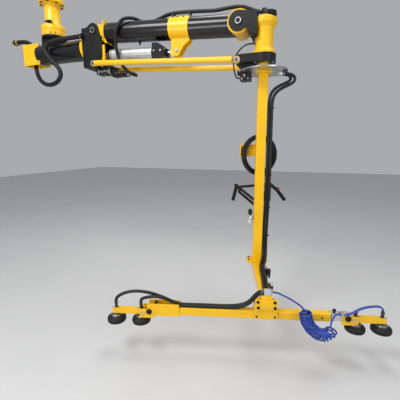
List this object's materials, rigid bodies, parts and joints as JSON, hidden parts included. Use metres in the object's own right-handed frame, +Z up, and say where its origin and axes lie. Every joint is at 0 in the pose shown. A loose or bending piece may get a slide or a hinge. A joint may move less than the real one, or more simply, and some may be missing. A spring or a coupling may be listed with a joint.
{
  "type": "vacuum gripper manipulator",
  "caption": "Overhead pneumatic manipulator: swivelling base arm, balanced parallelogram lift arm, turning mast and a beam with vacuum cups on tilting end bars.",
  "frame": {"origin": "centre of the mounting flange's top face, on the base swivel axis", "axes": "+Z up out of the mounting flange, +X along the arm from the base swivel towards the mast, +Y to its left side"},
  "size_m": [3.782, 1.2877, 2.8124],
  "materials": {
    "yellow_paint": "semi-gloss powder coat",
    "black_paint": "satin paint",
    "black_gloss": "gloss paint",
    "bright_steel": "plated",
    "disc_steel": "brushed",
    "barrel_aluminium": "anodised",
    "hose_rubber": "smooth flexible hose",
    "spiral_blue": "glossy polyurethane",
    "cup_rubber": "matt rubber"
  },
  "bodies": {
    "mount": {"base_spool": "yellow_paint"},
    "base_arm": {"base_saddle": "black_paint", "base_tube": "black_gloss", "hose_guide": "yellow_paint", "base_end_flange": "yellow_paint", "clevis_block": "black_paint", "clevis_cheek_near": "black_paint", "clevis_cheek_far": "black_paint", "base_pins": "bright_steel", "cylinder_anchor": "yellow_paint", "valve_manifold": "barrel_aluminium", "supply_coupling": "black_paint", "supply_hose": "hose_rubber"},
    "lift_arm": {"arm_end_left": "yellow_paint", "main_tube": "black_gloss", "arm_end_right": "yellow_paint", "cylinder_collar": "yellow_paint", "hose_clips": "black_paint", "arm_hose": "hose_rubber", "lift_cable": "hose_rubber"},
    "lower_links": {"lower_rod_near": "yellow_paint", "lower_rod_far": "yellow_paint"},
    "cylinder": {"cylinder_barrel": "barrel_aluminium", "cylinder_head": "black_paint"},
    "piston": {"piston_rod": "bright_steel"},
    "head": {"head_cheek_near": "black_paint", "head_cheek_far": "black_paint", "head_bracket": "black_paint", "head_pins": "bright_steel", "head_cap": "black_paint", "head_spool": "yellow_paint", "head_plate": "black_paint", "brake_caliper": "black_paint", "brake_line": "hose_rubber"},
    "tool": {"swivel_shaft": "yellow_paint", "brake_disc": "disc_steel", "mast_flange": "yellow_paint", "mast": "yellow_paint", "mast_foot": "yellow_paint", "forward_tube": "yellow_paint", "clamp_plate": "yellow_paint", "beam_saddle": "yellow_paint", "beam": "yellow_paint", "end_sleeve": "yellow_paint", "beam_knob": "black_paint", "mast_hoses": "hose_rubber", "vacuum_fittings": "barrel_aluminium", "handlebar": "black_paint", "coil_hanger": "yellow_paint", "hose_coil": "hose_rubber", "left_hoses": "hose_rubber", "spiral_hose": "spiral_blue"},
    "right_slide": {"slide_bar": "barrel_aluminium", "slide_knob": "black_paint", "right_cup_hose": "hose_rubber"},
    "left_cups": {"left_cup_bar": "yellow_paint", "left_suction_cups": "cup_rubber"},
    "right_cups": {"right_cup_bar": "yellow_paint", "right_suction_cups": "cup_rubber"}
  },
  "joints": [
    {"name": "base_swivel", "type": "hinge", "parent": "mount", "child": "base_arm", "pos_m": [0, 0, -0.343], "axis": [0, 0, 1], "range_deg": [-170, 170]},
    {"name": "arm_lift", "type": "hinge", "parent": "base_arm", "child": "lift_arm", "pos_m": [0.56, 0, -0.368], "axis": [0, -1, 0], "range_deg": [-15, 25], "deforming": ["lift_cable"]},
    {"name": "links_lift", "type": "hinge", "parent": "base_arm", "child": "lower_links", "pos_m": [0.56, 0, -0.668], "axis": [0, -1, 0], "range_deg": [-15, 25]},
    {"name": "head_level", "type": "hinge", "parent": "lift_arm", "child": "head", "pos_m": [1.95716, 0, -0.45713], "axis": [0, -1, 0], "range_deg": [-25, 15], "deforming": ["arm_hose"]},
    {"name": "cylinder_swing", "type": "hinge", "parent": "base_arm", "child": "cylinder", "pos_m": [0.612, 0, -0.573], "axis": [0, -1, 0], "range_deg": [-15.78, 26.3]},
    {"name": "rod_swing", "type": "hinge", "parent": "lift_arm", "child": "piston", "pos_m": [1.39232, 0, -0.60948], "axis": [0, -1, 0], "range_deg": [-0.78, 1.3]},
    {"name": "tool_swivel", "type": "hinge", "parent": "head", "child": "tool", "pos_m": [2.15716, 0, -0.707], "axis": [0, 0, 1], "range_deg": [-120, 120]},
    {"name": "beam_extend", "type": "slide", "parent": "tool", "child": "right_slide", "axis": [0.9668, 0.2554, 0], "range_m": [-0.02, 0.12], "deforming": ["spiral_hose"]},
    {"name": "left_cups_tilt", "type": "hinge", "parent": "tool", "child": "left_cups", "pos_m": [1.47316, -0.80131, -2.674], "axis": [-0.2554, 0.9668, 0], "range_deg": [-15, 15], "deforming": ["left_hoses"]},
    {"name": "right_cups_tilt", "type": "hinge", "parent": "right_slide", "child": "right_cups", "pos_m": [2.88085, -0.42938, -2.674], "axis": [-0.2554, 0.9668, 0], "range_deg": [-15, 15], "deforming": ["right_cup_hose"]}
  ],
  "couplings": [
    {"joint": "links_lift", "follows": "arm_lift", "ratio": 1},
    {"joint": "head_level", "follows": "arm_lift", "ratio": -1},
    {"joint": "cylinder_swing", "follows": "arm_lift", "ratio": 1.052},
    {"joint": "rod_swing", "follows": "arm_lift", "ratio": 0.052}
  ]
}
